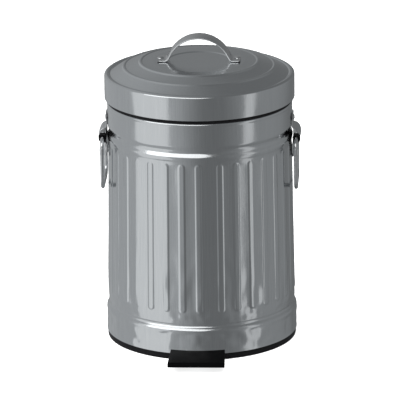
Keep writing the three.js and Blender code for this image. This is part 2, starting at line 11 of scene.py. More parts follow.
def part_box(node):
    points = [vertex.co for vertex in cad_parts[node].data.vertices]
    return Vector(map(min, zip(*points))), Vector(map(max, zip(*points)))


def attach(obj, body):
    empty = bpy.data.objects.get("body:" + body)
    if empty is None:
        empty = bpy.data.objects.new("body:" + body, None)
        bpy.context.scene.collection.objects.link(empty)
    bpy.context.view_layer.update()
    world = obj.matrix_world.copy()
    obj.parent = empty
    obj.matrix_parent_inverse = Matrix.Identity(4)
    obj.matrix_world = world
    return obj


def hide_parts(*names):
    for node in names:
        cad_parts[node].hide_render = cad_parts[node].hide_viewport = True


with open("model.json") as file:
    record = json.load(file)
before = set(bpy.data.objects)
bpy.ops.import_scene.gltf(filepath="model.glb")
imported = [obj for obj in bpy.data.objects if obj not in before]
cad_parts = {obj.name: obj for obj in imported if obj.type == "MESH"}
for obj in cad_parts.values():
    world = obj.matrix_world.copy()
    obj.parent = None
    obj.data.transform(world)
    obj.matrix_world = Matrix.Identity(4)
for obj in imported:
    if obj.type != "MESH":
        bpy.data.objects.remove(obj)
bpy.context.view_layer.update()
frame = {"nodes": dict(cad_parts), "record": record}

MM = 0.001
LID_LOW, LID_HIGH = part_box("lid_shell")
AXIS_Y = (LID_LOW[1] + LID_HIGH[1]) / 2
LID_R = (LID_HIGH[0] - LID_LOW[0]) / 2 / MM
ROUND = 256  # facets round the large turned pieces

# Can shell
SHEET = 0.7
SHELL_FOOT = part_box("outer_shell")[0][2] / MM
NECK_R = 99.8
NECK_TOP = 262.0
BODY_FOOT = (48.0, 101.2)
BODY_TOP = (220.5, 98.65)
PANEL_RIBS = 17  # ribs in each of the two half panels
PANEL_GAP = 13.4  # degrees between the last rib of one panel and the first of the next
PANEL_SEAM = -81.9  # degrees from +X to the seam between the panels
RIB_HEIGHT = 0.6
RIB_HALF = 4.3  # from a rib's middle line to the foot of its side
RIB_SIDE = 2.3  # width of a rib's sloping side
RIB_MIDWAY = 8.95  # from a rib's middle line to halfway to the next rib
PANEL_HOLLOW = 0.17  # how far the skin sinks midway between two ribs
RIB_FOOT = 52.0
RIB_TOP = 218.0

# Notch in the shell's foot for the pedal lever
NOTCH_HALF = 12.5
NOTCH_TOP = 11.4
NOTCH_BLEND = 16.0

# Dents in the shell: depth, size of the waves along X, Y and Z, seed, lowest and highest point, top fade
DENT_RISE = 4.0  # height over which a dent grows from its lowest point
SHELL_DENTS = (
    (0.95, (15, 15, 12), 3.0, SHELL_FOOT, 32, 4),
    (0.3, (8, 8, 7), 5.0, SHELL_FOOT, 32, 4),
    (0.2, (26, 26, 40), 9.0, 44, 258, 4),
    (0.55, (9, 9, 20), 13.0, 44, 130, 60),
    (0.3, (7, 7, 9), 17.0, 38, 66, 12),
)

# Base, collar and lid
RING_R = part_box("base_ring")[1][0] / MM
SEAT_R = 101.7  # the foot ring's upright wall, and the rim of the bottom plate
PLATE_FOOT = 27.0
PLATE_TOP = 28.2
COLLAR_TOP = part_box("top_collar")[1][2] / MM
COLLAR_BORE_R = 93.2
LID_FOOT = LID_LOW[2] / MM
LID_HEM_R = 97.8
LID_MIDDLE = 306.4  # top of the lid on its axis
DISC_Z = 306.8  # top of the disc under the strap's feet
LID_DENTS = (0.3, (24, 24, 24), 21.0, LID_FOOT, 291, 4)

# Lid strap
STRAP_WIDTH = 24.0
STRAP_THICK = 1.4
STRAP_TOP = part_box("lid_handle")[1][2] / MM - 0.6
ARCH_HALF = 34.2
ARCH_LEG = math.radians(62)
FOOT_END = 46.5
FOOT_RIVET = 41.5

# Hinge
HINGE_Y = 110.0
HINGE_Z = 262.5
KNUCKLE_R = 3.6
PIN_R = 1.6
LID_RIVET_Z = 277.0
NECK_RIVET_Z = 245.0

# Side handles
BAIL_R = 2.2
BAIL_X = 104.2
BAIL_Z = 224.0
BAIL_HALF = 32.0
BAIL_DROP = 53.0
FERRULE = (209.0, 216.5)  # foot and top of the sleeve on each leg of the wire
FERRULE_R = 2.75
SADDLE_HALF = 15.0
SADDLE_R = 100.75  # the saddle sheet's middle, where it lies on the can
SADDLE_FOOT = 201.0
SADDLE_TOP = 249.5
SADDLE_SHEET = 1.1
SADDLE_CORNER = 6.0
SADDLE_RIVETS = {
    # name: height, radius of the seat of its head, length of its shank
    "upper": (243.0, 101.3, 2.9),
    "lower": (207.0, 101.5, 3.9),
}

# Pedal, lever and rod
PIVOT_Y = -70.0
PIVOT_Z = 12.5
TREAD_HALF = 30.5
HEEL_R = 104.4  # the tread's heel follows the can
TREAD_TOE = -147.0
TREAD_HEEL = -104.3
TREAD_TOP = 12.0
TREAD_FOOT = 6.8
LEVER_Z = 8.4
BRACKET_Z = 26.0
ROD_Y = 95.0
ROD_R = 2.0
ROD_FOOT = 9.7
ROD_TOP = 267.9
LUG_Z = 268.95

# Bucket
BUCKET_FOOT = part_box("inner_bucket")[0][2] / MM
BUCKET_RIM = 255.5
BUCKET_RIM_R = 92.2
HOOP_RADIUS = 90.3
HOOP_R = 1.6
HOOP_Z = 257.4
EAR_FOOT = 250.0  # ears inside the bucket's rim that carry the hoop
EAR_HALF = 6.0
ON_AXIS = 1e-6  # a radius below this is a point on the axis

scene = bpy.context.scene


# ---- Materials -------------------------------------------------------------------------------

class Nodes:
    """A material's node tree, with short ways to add nodes and links."""

    def __init__(self, name):
        self.material = bpy.data.materials.new(name)
        self.material.use_nodes = True
        self.tree = self.material.node_tree
        self.surface = self.tree.nodes["Principled BSDF"]
        coordinates = self.tree.nodes.new("ShaderNodeTexCoord")
        self.place = coordinates.outputs["Object"]

    def link(self, source, target):
        self.tree.links.new(source, target)

    def noise(self, scale, detail=3.0, stretch=(1, 1, 1), distortion=0.0):
        mapping = self.tree.nodes.new("ShaderNodeMapping")
        mapping.inputs["Scale"].default_value = stretch
        texture = self.tree.nodes.new("ShaderNodeTexNoise")
        texture.inputs["Scale"].default_value = scale
        texture.inputs["Detail"].default_value = detail
        texture.inputs["Distortion"].default_value = distortion
        self.link(self.place, mapping.inputs["Vector"])
        self.link(mapping.outputs["Vector"], texture.inputs["Vector"])
        return texture.outputs["Fac"]

    def spread(self, value, low, high, start=0.3, end=0.7):
        node = self.tree.nodes.new("ShaderNodeMapRange")
        node.inputs["From Min"].default_value = start
        node.inputs["From Max"].default_value = end
        node.inputs["To Min"].default_value = low
        node.inputs["To Max"].default_value = high
        self.link(value, node.inputs["Value"])
        return node.outputs["Result"]

    def blend(self, value, first, second):
        node = self.tree.nodes.new("ShaderNodeMix")
        node.data_type = "RGBA"
        node.inputs["A"].default_value = (*first, 1)
        node.inputs["B"].default_value = (*second, 1)
        self.link(value, node.inputs["Factor"])
        return node.outputs["Result"]

    def bump(self, value, strength, distance, before=None):
        node = self.tree.nodes.new("ShaderNodeBump")
        node.inputs["Strength"].default_value = strength
        node.inputs["Distance"].default_value = distance
        self.link(value, node.inputs["Height"])
        if before is not None:
            self.link(before, node.inputs["Normal"])
        return node.outputs["Normal"]


def sheet_steel():
    """Bright rolled sheet: upright polishing lines, slow dull patches and a faint ripple."""
    nodes = Nodes("sheet_steel")
    grain = nodes.noise(60, 4.0, (14, 14, 0.35))
    patches = nodes.noise(18, 3.0)
    colour = nodes.blend(grain, (0.58, 0.6, 0.615), (0.7, 0.715, 0.725))
    nodes.link(colour, nodes.surface.inputs["Base Color"])
    nodes.link(nodes.spread(patches, 0.12, 0.2), nodes.surface.inputs["Roughness"])
    ripple = nodes.bump(nodes.noise(30, 2.0, (1, 1, 0.5)), 0.16, 0.0012)
    mottle = nodes.bump(nodes.noise(150, 3.0, (1, 1, 0.7)), 0.12, 0.0004, ripple)
    nodes.link(nodes.bump(grain, 0.035, 0.0004, mottle), nodes.surface.inputs["Normal"])
    nodes.surface.inputs["Metallic"].default_value = 1.0
    return nodes.material


def plated_steel():
    """Bright plated fittings: almost mirror-like, with small dull patches and fine scratches."""
    nodes = Nodes("plated_steel")
    patches = nodes.noise(120, 4.0)
    scratches = nodes.noise(300, 2.0, (1, 8, 1), 0.4)
    colour = nodes.blend(patches, (0.6, 0.61, 0.62), (0.74, 0.745, 0.75))
    nodes.link(colour, nodes.surface.inputs["Base Color"])
    nodes.link(nodes.spread(patches, 0.1, 0.2), nodes.surface.inputs["Roughness"])
    nodes.link(nodes.bump(scratches, 0.04, 0.0003), nodes.surface.inputs["Normal"])
    nodes.surface.inputs["Metallic"].default_value = 1.0
    return nodes.material


def plain_steel():
    """Dull zinc-plated sheet of the parts inside: mottled and rougher."""
    nodes = Nodes("plain_steel")
    spangle = nodes.noise(90, 5.0, (1, 1, 1), 1.2)
    colour = nodes.blend(spangle, (0.4, 0.41, 0.42), (0.6, 0.61, 0.62))
    nodes.link(colour, nodes.surface.inputs["Base Color"])
    nodes.link(nodes.spread(spangle, 0.3, 0.48), nodes.surface.inputs["Roughness"])
    nodes.link(nodes.bump(spangle, 0.05, 0.0004), nodes.surface.inputs["Normal"])
    nodes.surface.inputs["Metallic"].default_value = 1.0
    return nodes.material


def moulded_plastic(name, dark, pale, rough, gloss, grain_scale, grain_depth):
    """Black moulded plastic with a fine grain and slow changes of gloss."""
    nodes = Nodes(name)
    grain = nodes.noise(grain_scale, 2.0)
    patches = nodes.noise(25, 3.0)
    nodes.link(nodes.blend(patches, dark, pale), nodes.surface.inputs["Base Color"])
    nodes.link(nodes.spread(patches, rough, rough + 0.12), nodes.surface.inputs["Roughness"])
    nodes.link(nodes.bump(grain, 0.25, grain_depth), nodes.surface.inputs["Normal"])
    nodes.surface.inputs["Specular IOR Level"].default_value = gloss
    return nodes.material


STEEL = sheet_steel()
PLATED = plated_steel()
PLAIN = plain_steel()
PLASTIC = moulded_plastic(
    "black_plastic", dark=(0.003, 0.003, 0.0035), pale=(0.006, 0.006, 0.007), rough=0.38, gloss=0.12,
    grain_scale=900, grain_depth=0.00006)
TREAD_PLASTIC = moulded_plastic(
    "tread_plastic", dark=(0.0008, 0.0008, 0.0009), pale=(0.0018, 0.0018, 0.002), rough=0.5, gloss=0.03,
    grain_scale=700, grain_depth=0.00008)
BUCKET_PLASTIC = moulded_plastic(
    "bucket_plastic", dark=(0.006, 0.006, 0.0065), pale=(0.011, 0.011, 0.012), rough=0.5, gloss=0.25,
    grain_scale=1400, grain_depth=0.0001)
SLOTS = {
    STEEL: "sheet_steel",
    PLATED: "fittings",
    PLAIN: "plain_steel",
    TREAD_PLASTIC: "black_plastic",
    PLASTIC: "black_plastic",
    BUCKET_PLASTIC: "bucket_plastic",
}


# ---- Shape tools -----------------------------------------------------------------------------

def place(point):
    """A point in millimetres about the can's axis, in metres in the frame."""
    x, y, z = point
    return (x * MM, y * MM + AXIS_Y, z * MM)


def piece(name, verts, faces, material, body, nodes, sharp=40):
    """A smooth mesh piece that stands for CAD nodes and rides on their body."""
    mesh = bpy.data.meshes.new(name)
    mesh.from_pydata([place(v) for v in verts], [], faces)
    mesh.validate()
    mesh.polygons.foreach_set("use_smooth", [True] * len(mesh.polygons))
    mesh.set_sharp_from_angle(angle=math.radians(sharp))
    mesh.materials.append(material)
    made = bpy.data.objects.new(name, mesh)
    scene.collection.objects.link(made)
    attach(made, body)
    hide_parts(*nodes)
    return made


def bridge(rings, closed):
    """Faces between rings of vertex numbers, each ring a loop or one single point."""
    faces = []
    pairs = list(zip(rings, rings[1:]))
    if closed:
        pairs.append((rings[-1], rings[0]))
    for low, high in pairs:
        count = max(len(low), len(high))
        for i in range(count):
            j = (i + 1) % count
            if len(low) == 1:
                faces.append((low[0], high[j], high[i]))
            elif len(high) == 1:
                faces.append((low[i], low[j], high[0]))
            else:
                faces.append((low[i], low[j], high[j], high[i]))
    return faces


def fillet(points, closed=False, steps=5):
    """An outline of (a, b) or (a, b, radius) points, with an arc at each corner that has a radius."""
    made = []
    count = len(points)
    for i, point in enumerate(points):
        radius = point[2] if len(point) > 2 else 0.0
        at_end = not closed and i in (0, count - 1)
        if radius <= 0 or at_end:
            made.append(point[:2])
            continue
        corner = Vector(point[:2])
        before = Vector(points[i - 1][:2]) - corner
        after = Vector(points[(i + 1) % count][:2]) - corner
        half = before.angle(after) / 2
        reach = min(radius / math.tan(half), before.length * 0.499, after.length * 0.499)
        size = reach * math.tan(half)
        start = corner + before.normalized() * reach
        end = corner + after.normalized() * reach
        middle = corner + (before.normalized() + after.normalized()).normalized() * (size / math.sin(half))
        first = start - middle
        last = end - middle
        turn = first.angle_signed(last)
        for step in range(steps + 1):
            arm = first.copy()
            arm.rotate(Matrix.Rotation(-turn * step / steps, 2))
            made.append(tuple(middle + arm))
    return made


def turned_rings(profile, facets=ROUND):
    """Vertices of an outline of (radius, height) points turned about the can's axis, and their rings."""
    verts = []
    rings = []
    for r, z in profile:
        if r < ON_AXIS:
            rings.append([len(verts)])
            verts.append((0.0, 0.0, z))
            continue
        rings.append(list(range(len(verts), len(verts) + facets)))
        for i in range(facets):
            turn = 2 * math.pi * i / facets
            verts.append((r * math.cos(turn), r * math.sin(turn), z))
    return verts, rings


def revolve(profile, facets=ROUND):
    """Vertices and faces of a turned outline, closed from its last point to its first if off the axis."""
    verts, rings = turned_rings(profile, facets)
    return verts, bridge(rings, profile[0][0] > ON_AXIS)


def turned_along(profile, origin, axis, facets=32):
    """An outline of (radius, height) points turned about an axis through a point."""
    verts, faces = revolve(profile, facets)
    turn = Vector((0, 0, 1)).rotation_difference(Vector(axis)).to_matrix()
    return [tuple(turn @ Vector(v) + Vector(origin)) for v in verts], faces


def sweep(path, section, side=None, closed=False):
    """A section of (across, up) points carried along a path. side fixes the across direction."""
    path = [Vector(p) for p in path]
    count = len(path)
    verts = []
    rings = []
    across = Vector(side) if side is not None else None
    for i, point in enumerate(path):
        before = path[i - 1] if i > 0 or closed else path[0]
        after = path[(i + 1) % count] if i + 1 < count or closed else path[-1]
        along = (after - before).normalized()
        if across is None:
            across = along.orthogonal().normalized()
        across = (across - along * across.dot(along)).normalized()
        up = along.cross(across)
        rings.append(list(range(len(verts), len(verts) + len(section))))
        verts.extend(tuple(point + across * a + up * b) for a, b in section)
    faces = bridge(rings, closed)
    if not closed:
        faces.append(tuple(reversed(rings[0])))
        faces.append(tuple(rings[-1]))
    return verts, faces


def circle(radius, steps=20):
    """A round section."""
    turns = [2 * math.pi * i / steps for i in range(steps)]
    return [(radius * math.cos(turn), radius * math.sin(turn)) for turn in turns]


def soft_slab(width, thickness, corner):
    """A flat section with round corners."""
    a = width / 2
    b = thickness / 2
    return fillet([(-a, -b, corner), (a, -b, corner), (a, b, corner), (-a, b, corner)], closed=True, steps=4)


def merged(*parts):
    """Several (vertices, faces) lists as one."""
    verts = []
    faces = []
    for some_verts, some_faces in parts:
        shift = len(verts)
        verts.extend(some_verts)
        faces.extend(tuple(i + shift for i in face) for face in some_faces)
    return verts, faces


def dented(verts, depth, size, seed, low, high, fade):
    """Moves points along the radius by smooth noise that fades out towards two heights."""
    made = []
    for x, y, z in verts:
        if low < z < high:
            share = min(1.0, (z - low) / DENT_RISE, (high - z) / fade)
            wave = noise.noise(Vector((x / size[0], y / size[1], z / size[2] + seed)))
            push = 1 + depth * share * wave / math.hypot(x, y)
            made.append((x * push, y * push, z))
        else:
            made.append((x, y, z))
    return made


def smooth_step(value):
    """A value held between 0 and 1, with soft ends."""
    value = min(1.0, max(0.0, value))
    return value * value * (3 - 2 * value)


def turned_by(verts, angle):
    """Points turned about the can's axis."""
    c = math.cos(angle)
    s = math.sin(angle)
    return [(x * c - y * s, x * s + y * c, z) for x, y, z in verts]


def bevelled(made, width, segments=3, angle=35):
    """Rounds a piece's sharp edges with an applied bevel."""
    modifier = made.modifiers.new("edge", "BEVEL")
    modifier.width = width * MM
    modifier.segments = segments
    modifier.limit_method = "ANGLE"
    modifier.angle_limit = math.radians(angle)
    apply(made)
    made.data.polygons.foreach_set("use_smooth", [True] * len(made.data.polygons))
    made.data.set_sharp_from_angle(angle=math.radians(50))
    return made


def apply(made):
    """Turns a piece's modifiers into its mesh."""
    graph = bpy.context.evaluated_depsgraph_get()
    mesh = bpy.data.meshes.new_from_object(made.evaluated_get(graph))
    made.modifiers.clear()
    made.data = mesh


def prism(outline, axis, low, high):
    """An outline carried straight along X or Y: its points are (y, z) along X, and (x, z) along Y."""
    count = len(outline)
    if axis == "x":
        verts = [(low, a, b) for a, b in outline] + [(high, a, b) for a, b in outline]
    else:
        verts = [(a, low, b) for a, b in outline] + [(a, high, b) for a, b in outline]
    rings = [list(range(count)), list(range(count, 2 * count))]
    return verts, bridge(rings, False) + [tuple(reversed(rings[0])), tuple(rings[1])]


def block(low, high):
    """A box between two corners."""
    outline = [(low[1], low[2]), (high[1], low[2]), (high[1], high[2]), (low[1], high[2])]
    return prism(outline, "x", low[0], high[0])


def bar(start, end, radius):
    """A plain round bar between two points, to cut holes with."""
    direction = Vector(end) - Vector(start)
    profile = [(0, 0), (radius, 0), (radius, direction.length), (0, direction.length)]
    return turned_along(profile, start, tuple(direction.normalized()), 32)


def carve(made, verts, faces):
    """Cuts a shape out of a piece."""
    mesh = bpy.data.meshes.new("cutter")
    mesh.from_pydata([place(v) for v in verts], [], faces)
    cutter = bpy.data.objects.new("cutter", mesh)
    scene.collection.objects.link(cutter)
    cut = made.modifiers.new("cut", "BOOLEAN")
    cut.object = cutter
    cut.solver = "EXACT"
    apply(made)
    bpy.data.objects.remove(cutter)


# ---- Can shell -------------------------------------------------------------------------------

def plain_radius(z):
    """The can's outer radius without its ribs, from knots through beads and grooves."""
    foot_z, foot_r = BODY_FOOT
    knots = [
        (SHELL_FOOT, 103.25), (SHELL_FOOT + 1.2, 103.05), (12, 102.95), (28.6, 102.9),
        # lower bead and groove
        (30.6, 103.15), (32.2, 103.35), (33.6, 103.1), (35.1, 102.2), (36.5, 101.0), (37.6, 100.4),
        (38.8, 100.35), (40.4, 100.9), (foot_z, foot_r),
        # upper bead and groove
        (216.0, 98.8), (219.5, 99.2), (222.6, 99.9), (224.6, 100.2), (225.8, 100.0), (227.0, 99.4),
        (228.4, 98.6), (229.6, 98.2), (231.2, 98.15), (233.2, 98.5), (235.2, 99.2), (236.8, 99.7),
        # neck and its rolled edge
        (238.0, NECK_R), (259.0, NECK_R), (260.2, NECK_R + 0.3), (261.2, NECK_R + 0.35),
        (NECK_TOP, NECK_R - 0.1),
    ]
    for (z0, r0), (z1, r1) in zip(knots, knots[1:]):
        if z <= z1:
            share = (z - z0) / (z1 - z0)
            bend = smooth_step(share) if abs(z1 - z0) < 4 else share
            return r0 + (r1 - r0) * (0.5 * bend + 0.5 * share)
    return knots[-1][1]


def rib_push(arc, z):
    """How far the skin stands out at a distance along the arc from a rib's middle line."""
    low = RIB_FOOT + RIB_HALF
    high = RIB_TOP - RIB_HALF
    beyond = max(low - z, z - high, 0.0)
    distance = math.hypot(arc, beyond)
    between = min(max((RIB_MIDWAY - arc) / (RIB_MIDWAY - RIB_HALF), 0.0), 1.0)
    reach = smooth_step(min(z - RIB_FOOT, RIB_TOP - z) / 8)
    hollow = PANEL_HOLLOW * (1 - between ** 2) * reach
    return RIB_HEIGHT * smooth_step((RIB_HALF - distance) / RIB_SIDE) - hollow


def shell_levels():
    """Heights of the shell's rows: close together across beads and rib ends."""
    stretches = [(SHELL_FOOT, 28, 2.0), (28, 60, 0.7), (60, 210, 5.0), (210, 240, 0.7), (240, 258, 3.0),
                 (258, NECK_TOP, 0.5)]
    levels = []
    for low, high, step in stretches:
        count = max(1, round((high - low) / step))
        levels.extend(low + (high - low) * i / count for i in range(count))
    return levels + [NECK_TOP]


def rib_angles():
    """The angle of each rib's middle line: two half panels with a wider gap where they meet."""
    pitch = (180 - PANEL_GAP) / (PANEL_RIBS - 1)
    starts = (PANEL_SEAM + PANEL_GAP / 2, PANEL_SEAM + 180 + PANEL_GAP / 2)
    return [math.radians(start + rib * pitch) for start in starts for rib in range(PANEL_RIBS)]


def shell_columns():
    """Angles of the shell's columns, and each one's distance along the arc from its rib's middle."""
    middles = rib_angles()
    columns = []
    edge = RIB_HALF + 0.3
    for middle, following in zip(middles, middles[1:] + [middles[0] + 2 * math.pi]):
        span = (following - middle) * BODY_TOP[1]
        offsets = list(np.linspace(-edge, edge, 19)) + list(np.linspace(edge, span - edge, 8))[1:-1]
        columns.extend((middle + offset / BODY_TOP[1], min(offset, span - offset)) for offset in offsets)
    return columns


def lever_notch(turn, z):
    """Lifts the foot of the skin over the pedal lever at the front."""
    arc = abs(math.remainder(turn + math.pi / 2, 2 * math.pi)) * BODY_FOOT[1]
    if arc > NOTCH_HALF or z > NOTCH_BLEND:
        return z
    share = (z - SHELL_FOOT) / (NOTCH_BLEND - SHELL_FOOT)
    return NOTCH_TOP + (NOTCH_BLEND - NOTCH_TOP) * share


def make_shell():
    """The ribbed can: its pressed skin, and the same skin a sheet further in, joined at both ends."""
    columns = shell_columns()
    levels = shell_levels()
    verts = []
    rings = []

    def add_ring(z, shift, flat=False):
        rings.append(list(range(len(verts), len(verts) + len(columns))))
        base = plain_radius(z) - shift
        for turn, arc in columns:
            r = base + (0.0 if flat else rib_push(arc, z))
            verts.append((r * math.cos(turn), r * math.sin(turn), lever_notch(turn, z)))

    for z in levels:
        add_ring(z, 0.0)
    add_ring(NECK_TOP + 0.35, 0.45, True)
    for z in reversed(levels[1::2]):
        add_ring(z, SHEET)
    add_ring(SHELL_FOOT, SHEET, True)
    faces = bridge(rings, True)
    for dent in SHELL_DENTS:
        verts = dented(verts, *dent)
    piece("ribbed_shell", verts, faces, STEEL, "can", ["outer_shell"])


# ---- Base, collar and bottom -----------------------------------------------------------------

def make_base_ring():
    """The black foot ring: a lip under the shell, a wall inside it, and a slot for the pedal lever."""
    bore = 90
    lip = 6.9
    wall_top = 26.7
    wall_inside = SEAT_R - 2.8
    profile = fillet([
        (bore, 0, 0.6), (RING_R, 0, 1.2), (RING_R, lip, 0.5), (SEAT_R, lip), (SEAT_R, wall_top, 0.6),
        (wall_inside, wall_top, 0.6), (wall_inside, 5, 1.5), (bore, 3, 0.6),
    ], closed=True)
    ring = piece("foot_ring", *revolve(profile), PLASTIC, "can", ["base_ring"])
    carve(ring, *block((-NOTCH_HALF, -112, 3.2), (NOTCH_HALF, -84, 14)))


def make_collar():
    """The black collar: a flange on the neck, a skirt inside it, and a slot for the push rod."""
    skirt = NECK_R - 0.8 - 0.3
    skirt_inside = skirt - 2.5
    skirt_foot = 252
    flange = 99.3
    profile = fillet([
        (COLLAR_BORE_R, 262.3, 0.4), (skirt_inside, 261.3), (skirt_inside, skirt_foot, 0.4),
        (skirt, skirt_foot, 0.4), (skirt, 262.5), (flange, 262.6, 0.2), (flange, COLLAR_TOP, 0.9),
        (COLLAR_BORE_R, COLLAR_TOP, 0.9),
    ], closed=True)
    collar = piece("neck_collar", *revolve(profile), PLASTIC, "can", ["top_collar"])
    slot_half = ROD_R + 0.7
    carve(collar, *block((-slot_half, 90, 250), (slot_half, ROD_Y + 2.6, 270)))


def make_bottom_plate():
    """The can's flat bottom, with a hole for the push rod."""
    profile = fillet([(0, PLATE_FOOT), (SEAT_R, PLATE_FOOT, 0.3), (SEAT_R, PLATE_TOP, 0.3), (0, PLATE_TOP)])
    bottom = piece("can_bottom", *revolve(profile), PLAIN, "can", ["bottom_plate"])
    carve(bottom, *bar((0, ROD_Y, PLATE_FOOT - 3), (0, ROD_Y, PLATE_TOP + 4), ROD_R + 1))


# ---- Lid -------------------------------------------------------------------------------------

def make_lid():
    """The lid pressing: hemmed skirt, rounded rim with a fine groove inside it, two rings and a disc."""
    t = SHEET
    hem_top = LID_FOOT + 0.9
    outside = [
        # skirt, rim and the groove inside it
        (LID_HEM_R, LID_FOOT), (LID_R, LID_FOOT, 0.5), (LID_R, 292.2, 2.2), (99.8, 293.7, 1.2),
        (97.6, 293.5, 0.8), (96.0, 292.7, 0.7), (94.2, 293.6, 1.2),
        # outer ring
        (83.4, 299.5, 0.8), (82.0, 301.0, 0.6), (80.6, 301.3, 0.6), (79.0, 300.8, 0.8),
        # inner ring
        (65.6, 304.7, 0.8), (64.2, 306.2, 0.6), (62.8, 306.4, 0.6), (61.0, 305.8, 0.8),
        # disc
        (50.0, 306.5, 8.0), (34.2, 306.9, 0.7), (32.6, 306.1, 0.7), (0, LID_MIDDLE),
    ]
    inside = [
        (0, LID_MIDDLE - t), (32.8, 306.1 - t), (50.0, 306.4 - t), (60.8, 305.6 - t, 1.0),
        (63.4, 306.2 - t, 1.0), (66.4, 304.2 - t, 1.0), (78.8, 300.6 - t, 1.0), (81.2, 301.0 - t, 1.0),
        (84.2, 299.0 - t, 1.0), (94.0, 293.3 - t, 1.2), (96.0, 292.3 - t, 1.0), (99.6, 292.9 - t, 1.0),
        (LID_R - t, 291.2, 1.4), (LID_R - t, hem_top, 0.3), (LID_HEM_R, hem_top),
    ]
    # The outline runs from the hem over the top to the axis, and back inside: the hem closes it.
    verts, rings = turned_rings(fillet(outside, steps=6) + fillet(inside, steps=4))
    poles = [i for i, ring in enumerate(rings) if len(ring) == 1]
    faces = bridge(rings[: poles[0] + 1], False) + bridge(rings[poles[1]:], False)
    faces += bridge([rings[-1], rings[0]], False)
    verts = dented(verts, *LID_DENTS)
    piece("lid_pressing", verts, faces, STEEL, "lid", ["lid_shell"])


def strap_path():
    """The strap's middle line: foot, small bend, straight leg, round top, and the same down the other side."""
    foot = DISC_Z + 0.3 + STRAP_THICK / 2
    rise = STRAP_TOP - STRAP_THICK / 2 - foot
    slope = math.tan(ARCH_LEG)
    radius = (ARCH_HALF * slope - rise) / (math.sin(ARCH_LEG) * slope - 1 + math.cos(ARCH_LEG))
    arc = []
    steps = 24
    for step in range(steps + 1):
        turn = ARCH_LEG * (1 - step / steps)
        arc.append((radius * math.sin(turn), foot + rise - radius * (1 - math.cos(turn))))
    half = fillet([(FOOT_END, foot), (ARCH_HALF, foot, 4.5), arc[0]], steps=8) + arc[1:]
    return half + [(-x, z) for x, z in reversed(half[:-1])]


def make_lid_strap():
    """The bent strap on the lid, with its ends rounded off in plan."""
    path = [(x, 0, z) for x, z in strap_path()]
    verts, faces = sweep(path, soft_slab(STRAP_WIDTH, STRAP_THICK, 0.5), side=(0, 1, 0))
    made = []
    corner = 4.0
    for x, y, z in verts:
        over = max(0.0, abs(y) - (STRAP_WIDTH / 2 - corner))
        limit = FOOT_END - corner + math.sqrt(max(0.0, corner ** 2 - over ** 2))
        made.append((math.copysign(min(abs(x), limit), x), y, z))
    piece("lid_strap", made, faces, PLATED, "lid", ["lid_handle"])


def rivet_outline(shank, head, height, length, tail, tail_height):
    """A rivet's outline from its tail's end to the top of its domed head, standing on height 0."""
    dome = [(head * math.cos(a), height * math.sin(a)) for a in np.linspace(0, math.pi / 2, 9)]
    low = -length
    turns = np.linspace(0, math.pi / 2, 6)
    tail_dome = [(tail * math.sin(a), low - tail_height * math.cos(a)) for a in turns]
    shank_side = [(shank, low), (shank, 0)]
    return [(0, low - tail_height)] + tail_dome[1:] + shank_side + dome[:-1] + [(0, height)]


def make_rivet(name, node, body, origin, axis, length, head, height):
    """A rivet whose head stands on a point and whose shank runs back along the axis."""
    outline = rivet_outline(1.6, head, height, length, 2.8, 0.8)
    piece(name, *turned_along(outline, origin, axis), PLATED, body, [node])


def make_lid_rivets():
    """The rivet through each foot of the lid strap."""
    for side, x in (("left", -FOOT_RIVET), ("right", FOOT_RIVET)):
        top = DISC_Z + 0.6 + STRAP_THICK
        make_rivet(f"strap_rivet_{side}", f"lid_handle_rivet_{side}", "lid", (x, 0, top - 0.3), (0, 0, 1),
                   top - DISC_Z + 1.5, 3.6, 1.5)


# ---- Hinge -----------------------------------------------------------------------------------

def curved_plate(radius, thickness, half, low, high, corner=2.0):
    """A plate that hugs the can at the back, with round corners."""
    half_angle = half / radius
    outline = fillet([(-half, low, corner), (half, low, corner), (half, high, corner), (-half, high, corner)],
                     closed=True, steps=5)
    verts = []
    count = len(outline)
    for r in (radius, radius + thickness):
        for a, z in outline:
            turn = math.pi / 2 - a / half * half_angle
            verts.append((r * math.cos(turn), r * math.sin(turn), z))
    rings = [list(range(count)), list(range(count, 2 * count))]
    faces = bridge(rings, False)
    # Each face is a fan of strips from one side to the other, so that it follows the curve.
    for ring, outward in zip(rings, (False, True)):
        shift = ring[0]
        order = sorted(range(count), key=lambda i: (outline[i][0], outline[i][1]))
        low_side = [i for i in order if outline[i][1] < (low + high) / 2]
        high_side = [i for i in order if outline[i][1] >= (low + high) / 2]
        strips = min(len(low_side), len(high_side)) - 1
        for i in range(strips):
            corners = (low_side[i], low_side[i + 1], high_side[i + 1], high_side[i])
            quad = [shift + corner_at for corner_at in corners]
            faces.append(tuple(reversed(quad) if outward else quad))
    return verts, faces


def tube_x(low, high, outer, inner, facets=40):
    """A short tube along the hinge pin with eased edges."""
    profile = fillet([(inner, low), (outer, low, 0.4), (outer, high, 0.4), (inner, high)], closed=True)
    return turned_along(profile, (0, HINGE_Y, HINGE_Z), (1, 0, 0), facets)


